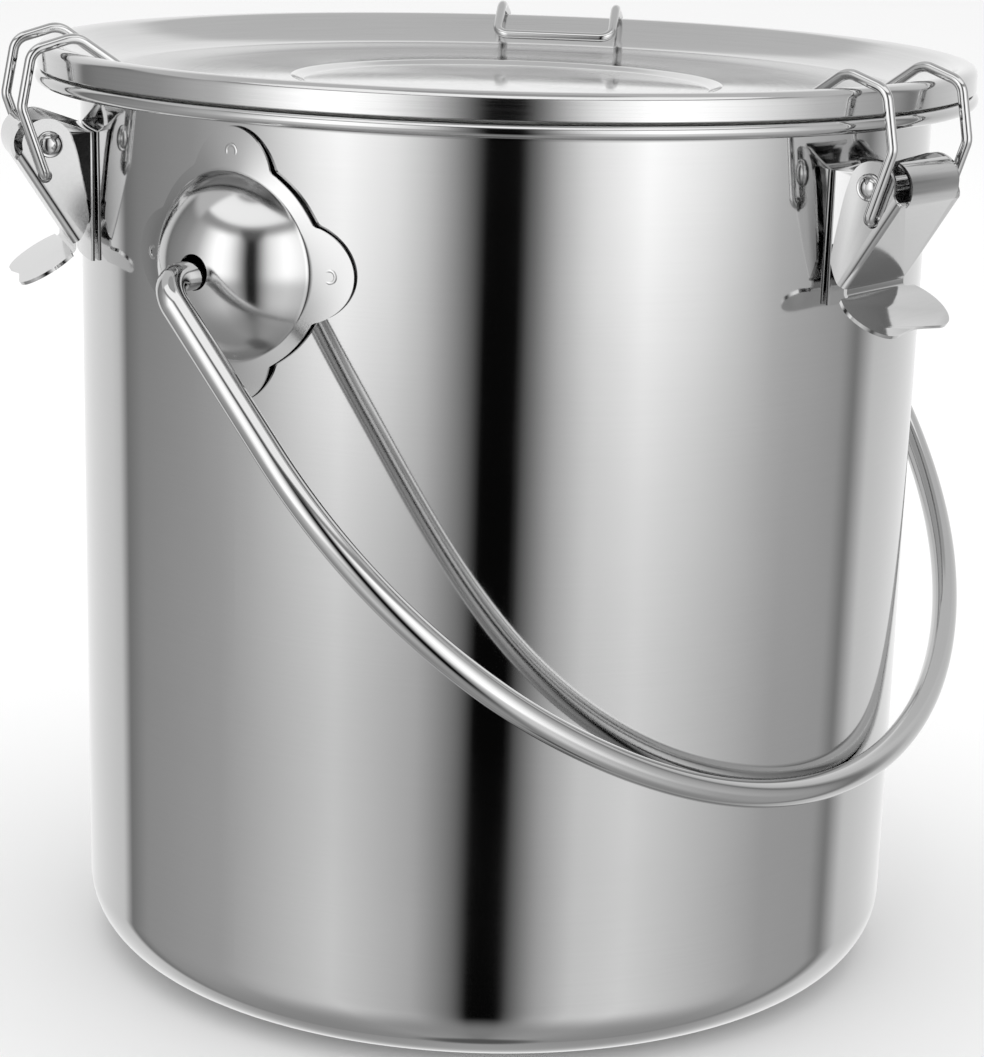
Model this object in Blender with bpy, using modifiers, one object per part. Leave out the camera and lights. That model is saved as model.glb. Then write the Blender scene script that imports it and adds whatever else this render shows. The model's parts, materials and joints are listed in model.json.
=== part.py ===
"""Stainless steel milk can: a drawn pail, a lid with a gasket, a swinging wire handle held by two
domed ear plates, and three toggle latches round the rim.

Frame: metres, +Z up, origin at the centre of the base. The ears lie on the X axis, and the handle
rests against the wall on the -Y side.
"""
import bpy
import bmesh
from math import asin, atan2, cos, pi, radians, sin, sqrt, tan
from mathutils import Matrix, Vector

MM = 0.001

# ---------------------------------------------------------------- driving dimensions (mm)
SHEET = 0.8                     # wall of the pail, the lid and the ear plates
GAP = 0.35                      # clearance between neighbours that touch on the real can
TURN_STEPS = 64                 # facets round the pail and the lid

BODY_TOP_RADIUS = 125.5         # outer radius of the wall just below the flare
BODY_LOW_RADIUS = 124.4         # outer radius just above the bottom corner
BOTTOM_CORNER = 20.0
FLARE_START_Z = 260.4           # where the wall starts to turn out into the flange
FLANGE_Z = 264.4                # top of the flange
BEAD_RADIUS = 2.0               # rolled hem round the flange
BEAD_CENTRE = (136.5, 264.2)    # radius and height of the hem's centre

LID_RADIUS = 137.75             # outside of the lid's skirt
LID_SKIRT_Z = 266.7             # lower edge of the skirt
LID_CREST = (134.4, 274.0)      # radius and height of the rounded top edge
LID_FOOT = (100.0, 264.5)       # where the slope inside the crest meets the flat floor
LID_STEP_RADIUS = 62.0          # shallow step in the lid's floor
LID_STEP = 1.2
LID_STEP_HALF = 1.5             # half the width of the step's slope
LID_SLOPE_START = 110.0         # outside this radius the underside is drawn in a little, so that
LID_SLOPE_SHIFT = 0.35          # the sloping sheet keeps its thickness

EAR_HEIGHT = 223.0              # centre of the ear plates above the base
DOME_RADIUS = 25.2
DOME_RIM_X = 128.5              # the dome would end this far out if its rim were flat
DOME_TOP_X = 143.3
DOME_HOLE = 5.0
EAR_LIFT = 1.5                  # the dome's rim stands this far off the face of the lobes
LOBE_RADIUS = 11.2
LOBE_REACH = 36.8               # centre to the tip of each of the four lobes
LOBE_NOTCH = 28.6               # centre to the outline between two lobes
LOBE_BLEND = 8.0

HANDLE_AXIS_Z = 222.3           # the wire rests low in the holes
HANDLE_WIRE = 3.93              # radius of the wire
HANDLE_ARC = 162.0              # radius of the long middle bend
HANDLE_ARC_DEPTH = 33.7         # the middle bend's centre lies this far from the handle's axis
HANDLE_CORNER = 136.0           # radius of the two side bends
HANDLE_CORNER_START = 45.0      # degrees round the middle bend where the side bends take over
HANDLE_LEG_LEAN = 1.0           # degrees each leg leans in towards the ear
HANDLE_HOOK = 8.0               # radius of the bend into the ear
HANDLE_WALL_GAP = 0.9           # between the wire and the wall, where it rests
HANDLE_END_X = 136.0            # where the wire ends inside the dome

LATCH_AZIMUTHS = {"front": 266.0, "right": 27.0, "left": 140.5}
PIVOT = (137.6, 247.8)          # radius and height of the lever's pin
PIN_RADIUS = 2.0
PIN_HEAD = (3.7, 1.7)           # radius and height of the domed heads
HOLE_EXTRA = 0.3                # the pin's holes are this much larger in radius than the pin
BORE_REACH = 30.0               # half the length of the cutters for the holes
EAR_SIDE = 15.3                 # outer face of the bracket's two ears, from the latch's middle
CHEEK_SIDE = 17.0               # outer face of the lever's two cheeks
LATCH_SHEET = 1.0
JOIN = 0.4                      # pieces of one sheet run this far into each other
BRACKET_Z = (214.5, 251.0)      # lower and upper end of the bracket's base
BRACKET_ROUND = 6.9             # radius of the bracket ears round the pin
CHEEK_ROUND = 7.0               # radius of the lever's cheeks round the pin
BAIL_HOLE = (1.4, -8.8)         # the bail's holes, out and up from the pin
BAIL_WIRE = 1.5                 # radius of the bail's wire
BAIL_HOLE_EXTRA = 0.5           # the bail's holes are looser than the pin's
BAIL_RADII = (1.9, 5.0, 5.0, 6.0, 4.0)      # bend radii from the hole to the middle
BAIL_SIDE = 19.3                # the bail's arms, from the latch's middle
BAIL_END_SIDE = 15.65           # where the bail's turned-in ends stop
BAIL_POINTS = ((7.9, 10.5), (4.9, 26.1), (-7.6, 30.1), (-20.9, 20.9))   # bends, from the pin

FACE_TOP = (8.8, -4.6)          # lever's front face, out and up from the pin, outer side
FACE_FOOT = (-6.5, -28.3)
TONGUE_SIDE = 12.0
TONGUE_CENTRE = (2.6, -0.4)
TONGUE_RADIUS = 7.8
TONGUE_TOP_ANGLE = 66.0         # degrees above the horizontal where the tongue ends
NECK = 1.6                      # the face goes straight down this far before it turns out
TAB_DROP = 32.0                 # degrees the thumb tab slopes down
TAB_LENGTH = 17.7
TAB_LOBE = 9.6                  # radius of the tab's two round ends
TAB_ROOT_SIDE = 14.6
TAB_SIDE = 21.8
TAB_LAP = 0.6                   # the tab starts this far up the neck

POLISHED = (0.72, 0.73, 0.74)
SILICONE = (0.86, 0.86, 0.84)

# ---------------------------------------------------------------- scene set-up
for old in list(bpy.data.objects):
    bpy.data.objects.remove(old, do_unlink=True)

PARTS = bpy.data.collections.new("milk_can")
CUTTERS = bpy.data.collections.new("cutters")
bpy.context.scene.collection.children.link(PARTS)
bpy.context.scene.collection.children.link(CUTTERS)


def material(name, colour, roughness, metallic):
    """A Principled material of one colour."""
    made = bpy.data.materials.new(name)
    made.use_nodes = True
    shader = made.node_tree.nodes["Principled BSDF"]
    shader.inputs["Base Color"].default_value = (*colour, 1.0)
    shader.inputs["Roughness"].default_value = roughness
    shader.inputs["Metallic"].default_value = metallic
    return made


# ---------------------------------------------------------------- modelling helpers
def arc(centre, radius, start, end, count):
    """Points of an arc in degrees, both ends included."""
    turns = [radians(start + (end - start) * k / count) for k in range(count + 1)]
    return [(centre[0] + radius * cos(a), centre[1] + radius * sin(a)) for a in turns]


def rounded_path(points, radii, count):
    """A 3-D polyline whose inner points become arcs of the given radii."""
    route = [Vector(points[0])]
    for before, here, after, radius in zip(points, points[1:], points[2:], radii):
        here = Vector(here)
        back = (Vector(before) - here).normalized()
        ahead = (Vector(after) - here).normalized()
        half = back.angle(ahead) / 2
        reach = radius / tan(half)
        centre = here + (back + ahead).normalized() * (radius / sin(half))
        first = here + back * reach - centre
        swing = pi - 2 * half
        axis = back.cross(ahead)
        for k in range(count + 1):
            route.append(centre + Matrix.Rotation(-swing * k / count, 3, axis) @ first)
    route.append(Vector(points[-1]))
    return route


def add(name, mesh, finish, smooth=40):
    """An object in the parts collection, shaded smooth up to the given edge angle."""
    made = bpy.data.objects.new(name, mesh)
    mesh.materials.clear()
    mesh.materials.append(finish)
    mesh.shade_smooth()
    mesh.set_sharp_from_angle(angle=radians(smooth))
    PARTS.objects.link(made)
    return made


def turned(name, profile, finish):
    """A solid turned about Z from a profile that ends on the axis at both ends."""
    mesh = bpy.data.meshes.new(name)
    points = [(r * MM, 0.0, z * MM) for r, z in profile]
    mesh.from_pydata(points, [(k, k + 1) for k in range(len(points) - 1)], [])
    made = add(name, mesh, finish)
    screw = made.modifiers.new("turn", "SCREW")
    screw.steps = TURN_STEPS
    screw.render_steps = TURN_STEPS
    screw.use_merge_vertices = True
    screw.merge_threshold = 0.00001
    return made


def wire(name, route, radius, finish):
    """A round wire along a route in mm."""
    curve = bpy.data.curves.new(name, "CURVE")
    curve.dimensions = "3D"
    curve.bevel_depth = radius * MM
    curve.bevel_resolution = 2
    curve.use_fill_caps = True
    spline = curve.splines.new("POLY")
    spline.points.add(len(route) - 1)
    for point, place in zip(spline.points, route):
        point.co = (*(Vector(place) * MM), 1.0)
    curve.materials.append(finish)
    made = bpy.data.objects.new(name, curve)
    PARTS.objects.link(made)
    return made


def plate_mesh(name, outline, low, high):
    """A flat outline in mm, filled and made thick from low to high along its own Z."""
    curve = bpy.data.curves.new(name, "CURVE")
    curve.dimensions = "2D"
    curve.fill_mode = "BOTH"
    curve.extrude = (high - low) / 2 * MM
    spline = curve.splines.new("POLY")
    spline.points.add(len(outline) - 1)
    for point, (x, y) in zip(spline.points, outline):
        point.co = (x * MM, y * MM, 0.0, 1.0)
    spline.use_cyclic_u = True
    holder = bpy.data.objects.new(name, curve)
    bpy.context.scene.collection.objects.link(holder)
    bpy.context.view_layer.update()
    evaluated = holder.evaluated_get(bpy.context.evaluated_depsgraph_get())
    mesh = bpy.data.meshes.new_from_object(evaluated)
    bpy.data.objects.remove(holder)
    bpy.data.curves.remove(curve)
    shape = bmesh.new()
    shape.from_mesh(mesh)
    bmesh.ops.remove_doubles(shape, verts=shape.verts, dist=0.000001)
    bmesh.ops.translate(shape, verts=shape.verts, vec=(0, 0, (high + low) / 2 * MM))
    bmesh.ops.recalc_face_normals(shape, faces=shape.faces)
    shape.to_mesh(mesh)
    shape.free()
    return mesh


def tool(name, mesh, host, operation):
    """A hidden cutter or joining piece, applied to its host by a Boolean modifier."""
    made = bpy.data.objects.new(name, mesh)
    made.hide_render = True
    made.display_type = "WIRE"
    CUTTERS.objects.link(made)
    boolean = host.modifiers.new(name, "BOOLEAN")
    boolean.operation = operation
    boolean.object = made
    return made


def rod_mesh(name, radius, half_length, segments=16):
    """A cylinder along its own Z."""
    mesh = bpy.data.meshes.new(name)
    shape = bmesh.new()
    bmesh.ops.create_cone(shape, cap_ends=True, segments=segments, radius1=radius * MM,
                          radius2=radius * MM, depth=2 * half_length * MM)
    shape.to_mesh(mesh)
    shape.free()
    return mesh


# ---------------------------------------------------------------- pail, lid and gasket
def pail_profile():
    """From the middle of the floor, up the inside, over the rim and down the outside."""
    low_inside = BODY_LOW_RADIUS - SHEET
    top_inside = BODY_TOP_RADIUS - SHEET
    corner = BODY_LOW_RADIUS - BOTTOM_CORNER
    flare = FLANGE_Z - FLARE_START_Z
    flare_centre = BODY_TOP_RADIUS + flare - SHEET
    inside = [(0.0, SHEET)]
    inside += arc((corner, BOTTOM_CORNER), low_inside - corner, -90, 0, 4)
    inside += arc((flare_centre, FLARE_START_Z), flare_centre - top_inside, 180, 90, 3)
    bead = arc(BEAD_CENTRE, BEAD_RADIUS, 150, -150, 8)
    under = arc((flare_centre, FLARE_START_Z), flare_centre - BODY_TOP_RADIUS, 90, 180, 3)
    outside = arc((corner, BOTTOM_CORNER), BOTTOM_CORNER, 0, -90, 5)
    return inside + bead + under + outside + [(0.0, 0.0)]


def lid_top():
    """The lid's upper side from the middle out to the crest."""
    floor = LID_FOOT[1]
    return [(0.0, floor - LID_STEP), (LID_STEP_RADIUS - LID_STEP_HALF, floor - LID_STEP),
            (LID_STEP_RADIUS + LID_STEP_HALF, floor), LID_FOOT, (114.0, 265.2),
            (120.0, 266.6), (125.5, 269.2), (129.8, 271.9)]


def lid_profile():
    """Out along the top, down the skirt, and back underneath."""
    top = lid_top()
    crest = [(132.2, 273.4), LID_CREST, (136.4, 273.6), (137.5, 272.4)]
    skirt = [(LID_RADIUS, 271.0), (LID_RADIUS, LID_SKIRT_Z), (LID_RADIUS - SHEET, LID_SKIRT_Z),
             (LID_RADIUS - SHEET, 271.2), (136.0, 272.7), (134.4, 273.1), (132.6, 272.6)]
    under = [(r - LID_SLOPE_SHIFT * (r > LID_SLOPE_START), z - SHEET) for r, z in reversed(top)]
    return top + crest + skirt + under


def make_vessel(steel, rubber):
    turned("pail_body", pail_profile(), steel)
    turned("lid", lid_profile(), steel)
    seat = FLANGE_Z + GAP
    ring = [(128.0, seat + 0.1), (128.0, 269.2), (130.6, 270.9), (133.4, 272.0),
            (133.4, seat + 0.8), (128.0, seat + 0.1)]
    turned("lid_gasket", ring, rubber)


# ---------------------------------------------------------------- ear plates
def lobe_outline(angle):
    """Distance from the ear's centre to the plate's edge, with a lobe at each quarter turn."""
    quarter = (angle + pi / 4) % (pi / 2) - pi / 4
    lobe_centre = LOBE_REACH - LOBE_RADIUS
    side = lobe_centre * sin(quarter)
    reach = lobe_centre * cos(quarter) + sqrt(max(0.0, LOBE_RADIUS ** 2 - side ** 2))
    higher = max(reach, LOBE_NOTCH)
    lower = min(reach, LOBE_NOTCH)
    return higher + LOBE_BLEND * max(0.0, 1 - (higher - lower) / LOBE_BLEND) ** 2 / 4


def dome_point(fraction, turn):
    """A point of the dome's outside fraction 0 at the hole, 1 at the rim."""
    rise = DOME_TOP_X - DOME_RIM_X
    ball = (DOME_RADIUS ** 2 + rise ** 2) / (2 * rise)
    first = asin(DOME_HOLE / ball)
    last = asin(DOME_RADIUS / ball)
    slant = first + (last - first) * fraction
    reach = ball * sin(slant)
    rim_x = flange_x(DOME_RADIUS, DOME_RADIUS * cos(turn))
    x = DOME_TOP_X - ball * (1 - cos(slant)) + (rim_x - DOME_RIM_X) * (reach / DOME_RADIUS) ** 4
    return x, reach * cos(turn), reach * sin(turn)


def flange_x(reach, y):
    """How far out the flange's face lies: on the wall at the tips of the lobes, raised inwards."""
    face = BODY_TOP_RADIUS + GAP + SHEET
    fall = (reach - DOME_RADIUS) / (LOBE_REACH - DOME_RADIUS)
    return sqrt(face ** 2 - y ** 2) + EAR_LIFT * (1 - fall) ** 2


def flange_point(fraction, turn):
    """A point of the flange's outside: fraction 0 at the dome's rim, 1 at the plate's edge."""
    reach = DOME_RADIUS + (lobe_outline(turn) - DOME_RADIUS) * fraction
    y = reach * cos(turn)
    return flange_x(reach, y), y, reach * sin(turn)


def ear_mesh(name):
    """The outside of an ear that faces +X: a domed cap on a flange that lies along the wall."""
    around = 48
    rings = [(dome_point, k / 5) for k in range(6)] + [(flange_point, 0.4), (flange_point, 1.0)]
    shape = bmesh.new()
    loops = []
    for point_at, fraction in rings:
        loop = []
        for j in range(around):
            x, y, z = point_at(fraction, 2 * pi * j / around)
            loop.append(shape.verts.new((x * MM, y * MM, (z + EAR_HEIGHT) * MM)))
        loops.append(loop)
    for inner, outer in zip(loops, loops[1:]):
        for j in range(around):
            after = (j + 1) % around
            shape.faces.new((inner[j], outer[j], outer[after], inner[after]))
    mesh = bpy.data.meshes.new(name)
    shape.to_mesh(mesh)
    shape.free()
    return mesh


def make_ears(steel):
    mesh = ear_mesh("ear_plate")
    for name, turn in (("ear_plate_right", 0.0), ("ear_plate_left", pi)):
        ear = add(name, mesh, steel)
        ear.rotation_euler = (0.0, 0.0, turn)
        thick = ear.modifiers.new("sheet", "SOLIDIFY")
        thick.thickness = SHEET * MM
        thick.offset = -1.0


# ---------------------------------------------------------------- handle
def handle_half():
    """The handle's +X half in its own plane: out from the middle, as (x, depth) pairs."""
    middle = (0.0, HANDLE_ARC_DEPTH)
    shift = HANDLE_ARC - HANDLE_CORNER
    turn = radians(HANDLE_CORNER_START)
    corner = (shift * cos(turn), HANDLE_ARC_DEPTH + shift * sin(turn))
    half = arc(middle, HANDLE_ARC, 90, HANDLE_CORNER_START, 14)
    half += arc(corner, HANDLE_CORNER, HANDLE_CORNER_START, HANDLE_LEG_LEAN, 6)[1:]
    lean = radians(HANDLE_LEG_LEAN)
    hook_start = HANDLE_HOOK * (1 - sin(lean))
    leg = (half[-1][1] - hook_start) / cos(lean)
    top = (half[-1][0] + leg * sin(lean), hook_start)
    hook = (top[0] - HANDLE_HOOK * cos(lean), HANDLE_HOOK)
    half += arc(hook, HANDLE_HOOK, -HANDLE_LEG_LEAN, -90, 6)
    return half + [(HANDLE_END_X, 0.0)]


def make_handle(steel):
    half = handle_half()
    depth = HANDLE_ARC + HANDLE_ARC_DEPTH
    slant = asin((BODY_LOW_RADIUS + HANDLE_WALL_GAP + HANDLE_WIRE) / depth)
    flat = [(-x, d) for x, d in reversed(half)] + half[1:]
    route = [(x, -d * sin(slant), -d * cos(slant)) for x, d in flat]
    made = wire("handle", route, HANDLE_WIRE, steel)
    made.location = (0.0, 0.0, HANDLE_AXIS_Z * MM)


# ---------------------------------------------------------------- latches
def side_plate(name, outline, low, high):
    """A plate whose outline lies in the latch's out-and-up plane, from low to high sideways.

    The outline is given from the pin. Its own Z is the sideways direction, so the mesh is
    turned to stand in a latch that faces +X.
    """
    mesh = plate_mesh(name, outline, low, high)
    stand = Matrix(((1, 0, 0), (0, 0, -1), (0, 1, 0))).to_4x4()
    mesh.transform(Matrix.Translation((PIVOT[0] * MM, 0, PIVOT[1] * MM)) @ stand)
    return mesh


def cross_rod(name, place, radius, half_length):
    """A sideways cylinder at a place given from the pin."""
    mesh = rod_mesh(name, radius, half_length)
    mesh.transform(Matrix.Rotation(pi / 2, 4, "X"))
    mesh.transform(Matrix.Translation(((PIVOT[0] + place[0]) * MM, 0,
                                       (PIVOT[1] + place[1]) * MM)))
    return mesh


def bracket_base():
    """The bracket's base, a strip curved like the wall behind it."""
    inner = BODY_TOP_RADIUS + GAP
    half = (EAR_SIDE - 0.02) / inner
    front = [(inner * cos(a), inner * sin(a)) for a in (half * k / 4 for k in range(-4, 5))]
    back = [((inner + LATCH_SHEET) * cos(a), (inner + LATCH_SHEET) * sin(a))
            for a in (half * k / 4 for k in range(4, -5, -1))]
    return front + back


def bracket_ear():
    """The ear's outline from the pin: round at the pin, wide where it meets the base."""
    middle = BODY_TOP_RADIUS + GAP + LATCH_SHEET / 2
    wall = sqrt(middle ** 2 - EAR_SIDE ** 2) - PIVOT[0]
    top = BRACKET_Z[1] - PIVOT[1]
    outline = arc((0, 0), BRACKET_ROUND, -75, 105, 10)
    return outline + [(wall, top), (wall, -17.0)]


def cheek_outline():
    """The lever's cheek from the pin: round at the top, tapering to the foot of the face."""
    foot = (FACE_FOOT[0] - 0.1, FACE_FOOT[1] + 0.1)
    head = (FACE_TOP[0] - 0.15, FACE_TOP[1])
    outline = arc((0.6, 0), CHEEK_ROUND, -12, 165, 9)
    return outline + [(-8.0, -4.5), (-10.7, -19.0), (-10.4, -22.5), (-8.6, -26.5), foot, head]


def face_strip():
    """The lever's front face seen from the side: a slope, then a short upright neck."""
    top, foot = Vector(FACE_TOP), Vector(FACE_FOOT)
    run = (top - foot).normalized()
    inward = Vector((-run.y, run.x)) * LATCH_SHEET
    down = Vector((0.0, -NECK))
    back = Vector((-LATCH_SHEET, 0.0))
    strip = [foot + down, foot, top, top + inward, foot + inward, foot + down + back]
    return [tuple(point) for point in strip]


def tongue_strip():
    """The tongue that carries the face on round the pin, seen from the side."""
    run = Vector((FACE_TOP[0] - FACE_FOOT[0], FACE_TOP[1] - FACE_FOOT[1])).normalized()
    start = -90 + atan2(run.y, run.x) * 180 / pi
    root = Vector(FACE_TOP) - run * JOIN
    inward = Vector((-run.y, run.x)) * LATCH_SHEET
    outer = arc(TONGUE_CENTRE, TONGUE_RADIUS, start, TONGUE_TOP_ANGLE, 8)
    inner = arc(TONGUE_CENTRE, TONGUE_RADIUS - LATCH_SHEET, TONGUE_TOP_ANGLE, start, 8)
    return [tuple(root)] + outer + inner + [tuple(root + inward)]


def tab_outline():
    """The thumb tab in its own plane: narrow at the bend, then two round lobes."""
    centre = (TAB_LENGTH - TAB_LOBE, TAB_SIDE - TAB_LOBE)
    half = [(-0.8, TAB_ROOT_SIDE), (1.2, TAB_ROOT_SIDE)]
    half += arc(centre, TAB_LOBE, 138, 20, 7)
    half += [(TAB_LENGTH - 1.6, 0.0)]
    return half + [(x, -y) for x, y in reversed(half[:-1])]


def tab_mesh(name):
    mesh = plate_mesh(name, tab_outline(), -LATCH_SHEET, 0.0)
    slope = Matrix.Rotation(radians(TAB_DROP), 4, "Y")
    place = Matrix.Translation(((PIVOT[0] + FACE_FOOT[0]) * MM, 0,
                                (PIVOT[1] + FACE_FOOT[1] - NECK + TAB_LAP) * MM))
    mesh.transform(place @ slope)
    return mesh


def bail_route():
    """The bail's centre line in a latch that faces +X."""
    def place(out_up, side):
        return (PIVOT[0] + out_up[0], side, PIVOT[1] + out_up[1])
    half = [place(BAIL_HOLE, BAIL_END_SIDE), place(BAIL_HOLE, BAIL_SIDE)]
    half += [place(point, BAIL_SIDE) for point in BAIL_POINTS]
    points = half + [(x, -y, z) for x, y, z in reversed(half)]
    return rounded_path(points, BAIL_RADII + BAIL_RADII[::-1], 3)


def turned_about_z(mesh, azimuth):
    mesh.transform(Matrix.Rotation(azimuth, 4, "Z"))
    return mesh


def make_latch(side, azimuth, steel):
    """One toggle latch: bracket, pin, lever and bail, swung round to its azimuth."""
    label = side + "_latch_"

    def shaped(mesh):
        return turned_about_z(mesh, azimuth)

    base = plate_mesh(label + "base", bracket_base(), *BRACKET_Z)
    bracket = add(label + "bracket", shaped(base), steel)
    for hand in (1, -1):
        low, high = sorted((hand * (EAR_SIDE - LATCH_SHEET), hand * EAR_SIDE))
        ear = side_plate(label + "ear", bracket_ear(), low, high)
        tool(label + "ear_%d" % hand, shaped(ear), bracket, "UNION")
    bore = cross_rod(label + "bore", (0, 0), PIN_RADIUS + HOLE_EXTRA, BORE_REACH)
    tool(label + "bracket_bore", shaped(bore), bracket, "DIFFERENCE")

    face = side_plate(label + "face", face_strip(), JOIN - CHEEK_SIDE, CHEEK_SIDE - JOIN)
    lever = add(label + "lever", shaped(face), steel)
    for hand in (1, -1):
        low, high = sorted((hand * (CHEEK_SIDE - LATCH_SHEET), hand * CHEEK_SIDE))
        cheek = side_plate(label + "cheek", cheek_outline(), low, high)
        tool(label + "cheek_%d" % hand, shaped(cheek), lever, "UNION")
    tongue = side_plate(label + "tongue", tongue_strip(), -TONGUE_SIDE, TONGUE_SIDE)
    tool(label + "tongue", shaped(tongue), lever, "UNION")
    tool(label + "tab", shaped(tab_mesh(label + "tab")), lever, "UNION")
    pin_bore = cross_rod(label + "pin_bore", (0, 0), PIN_RADIUS + HOLE_EXTRA, BORE_REACH)
    tool(label + "lever_pin_bore", shaped(pin_bore), lever, "DIFFERENCE")
    bail_bore = cross_rod(label + "bail_bore", BAIL_HOLE, BAIL_WIRE + BAIL_HOLE_EXTRA, BORE_REACH)
    tool(label + "lever_bail_bore", shaped(bail_bore), lever, "DIFFERENCE")

    make_pin(label + "pin", azimuth, steel)
    bail = wire(label + "bail", bail_route(), BAIL_WIRE, steel)
    bail.rotation_euler = (0.0, 0.0, azimuth)


def make_pin(name, azimuth, steel):
    """A rivet with a domed head outside each cheek, turned about the pin's axis."""
    rise = PIN_HEAD[1]
    foot = CHEEK_SIDE + 0.3
    dome = [(PIN_HEAD[0] * sin(a), foot + 0.3 + (rise - 0.3) * cos(a))
            for a in (pi / 2 * k / 3 for k in range(4))]
    half = dome + [(PIN_HEAD[0], foot), (PIN_RADIUS, foot)]
    profile = half + [(r, -h) for r, h in reversed(half)]
    mesh = bpy.data.meshes.new(name)
    points = [(r * MM, 0.0, h * MM) for r, h in profile]
    mesh.from_pydata(points, [(k, k + 1) for k in range(len(points) - 1)], [])
    pin = add(name, mesh, steel)
    screw = pin.modifiers.new("turn", "SCREW")
    screw.steps = 16
    screw.render_steps = 16
    screw.use_merge_vertices = True
    screw.merge_threshold = 0.00001
    lay = Matrix.Translation((PIVOT[0] * MM, 0, PIVOT[1] * MM)) @ Matrix.Rotation(pi / 2, 4, "X")
    pin.matrix_world = Matrix.Rotation(azimuth, 4, "Z") @ lay


STEEL = material("polished_steel", POLISHED, 0.12, 1.0)
RUBBER = material("silicone", SILICONE, 0.45, 0.0)

make_vessel(STEEL, RUBBER)
make_ears(STEEL)
make_handle(STEEL)
for latch_side, latch_azimuth in LATCH_AZIMUTHS.items():
    make_latch(latch_side, radians(latch_azimuth), STEEL)
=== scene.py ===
"""Looks for the milk can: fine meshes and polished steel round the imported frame, in a pale studio.

Lengths are in mm and become metres through MM. Positions come from the frame's boxes and joints.
"""
import json
from math import asin, atan2, cos, degrees, pi, radians, sin, sqrt, tan

import bmesh
import bpy
from mathutils import Matrix, Vector


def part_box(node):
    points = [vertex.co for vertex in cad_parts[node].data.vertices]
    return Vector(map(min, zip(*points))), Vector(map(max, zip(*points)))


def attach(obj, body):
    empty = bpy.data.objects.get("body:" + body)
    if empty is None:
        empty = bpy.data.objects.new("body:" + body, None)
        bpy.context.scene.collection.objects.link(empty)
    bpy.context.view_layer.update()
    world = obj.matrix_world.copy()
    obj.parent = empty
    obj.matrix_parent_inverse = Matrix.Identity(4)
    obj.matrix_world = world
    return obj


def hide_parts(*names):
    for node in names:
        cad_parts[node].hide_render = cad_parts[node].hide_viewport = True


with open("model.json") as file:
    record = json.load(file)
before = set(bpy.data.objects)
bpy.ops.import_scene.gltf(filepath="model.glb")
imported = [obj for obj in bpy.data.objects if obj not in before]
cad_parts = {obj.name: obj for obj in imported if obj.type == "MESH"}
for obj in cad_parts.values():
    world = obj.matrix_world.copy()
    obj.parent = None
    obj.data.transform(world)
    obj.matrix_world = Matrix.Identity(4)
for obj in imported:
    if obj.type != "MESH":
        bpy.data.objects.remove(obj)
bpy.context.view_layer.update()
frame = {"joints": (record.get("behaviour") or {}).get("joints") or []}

MM = 0.001
JOINTS = {joint["name"]: joint for joint in frame["joints"]}
SIDES = ("front", "right", "left")


def joint_place(name):
    """A joint's position in mm."""
    return Vector(JOINTS[name]["pos_m"]) / MM


def box_top(node):
    """The highest corner of a node's box in mm."""
    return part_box(node)[1] / MM


# ---------------------------------------------------------------- sizes (mm)
SHEET = 0.8
GAP = 0.35
TURN_STEPS = 288

RIM = box_top("pail_body")
BODY_TOP_RADIUS = RIM.x - 13.0
BODY_LOW_RADIUS = BODY_TOP_RADIUS - 1.1
BOTTOM_CORNER = 20.0
FLARE_START_Z = RIM.z - 5.8
FLANGE_Z = FLARE_START_Z + 4.0
BEAD_RADIUS = 2.0
BEAD_CENTRE = (RIM.x - BEAD_RADIUS, RIM.z - BEAD_RADIUS)
BEAD_SHEET = 0.6

LID = box_top("lid")
LID_RADIUS = LID.x
LID_SKIRT_Z = LID.z - 7.3
LID_FLOOR_Z = LID.z - 9.5
LID_STEP_RADIUS = 62.0
LID_STEP = 1.2

EAR_HEIGHT = 223.0
DOME_RADIUS = 25.2
DOME_RIM_X = 128.5              # where a dome with a flat rim would end
DOME_TOP_X = box_top("ear_plate_right").x
DOME_HOLE = 4.8
LOBE_RADIUS = 11.2
LOBE_REACH = 36.8
LOBE_NOTCH = 28.6
LOBE_BLEND = 8.0
EAR_AROUND = 240
WELD_REACH = 30.4               # centre of the ear to its spot welds
WELD_RING = ((1.15, -0.3), (1.2, 0.02), (1.45, 0.12), (1.75, 0.13), (2.05, 0.02), (2.1, -0.3),
             (1.15, -0.3))
EAR_LIFT = 1.5                  # the dome's rim stands this far off the face of the lobes

HANDLE_AXIS_Z = joint_place("handle_swing").z
HANDLE_WIRE = 3.93
HANDLE_ARC = 162.0              # radius of the loop's middle part
HANDLE_ARC_DEPTH = 33.7         # how far its centre lies from the swing axis
HANDLE_CORNER = 136.0           # radius of the bends into the legs
HANDLE_CORNER_START = 45.0      # degrees
HANDLE_LEG_LEAN = 1.0           # degrees
HANDLE_HOOK = 8.0
HANDLE_WALL_GAP = 0.9
HANDLE_END_X = 136.0

PIVOT = (joint_place("front_lever_open").xy.length, joint_place("front_lever_open").z)
PIN_RADIUS = 2.0
PIN_HEAD = (3.7, 1.7)
HOLE_EXTRA = 0.3
EAR_SIDE = 15.3
CHEEK_SIDE = 17.0
LATCH_SHEET = 1.0
BRACKET_Z = (214.5, 251.0)
BRACKET_ROUND = 6.9
CHEEK_ROUND = 7.0
BAIL_HOLE = (1.4, -8.8)
BAIL_WIRE = 1.5
BAIL_HOLE_EXTRA = 0.5
BAIL_SIDE = 19.3
BAIL_END_SIDE = 15.65
BAIL_POINTS = ((7.9, 10.5), (4.9, 26.1), (-7.6, 30.0), (-20.9, 20.8))
BAIL_RADII = (1.9, 5.0, 5.0, 6.0, 4.0)
FACE_TOP = (8.8, -4.6)
FACE_FOOT = (-6.5, -28.3)
TONGUE_SIDE = 12.0
TONGUE_CENTRE = (2.6, -0.4)
TONGUE_RADIUS = 7.8
TONGUE_TOP_ANGLE = 66.0
NECK = 1.6
TAB_DROP = 32.0
TAB_LENGTH = 17.7
TAB_LOBE = 9.6
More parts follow.
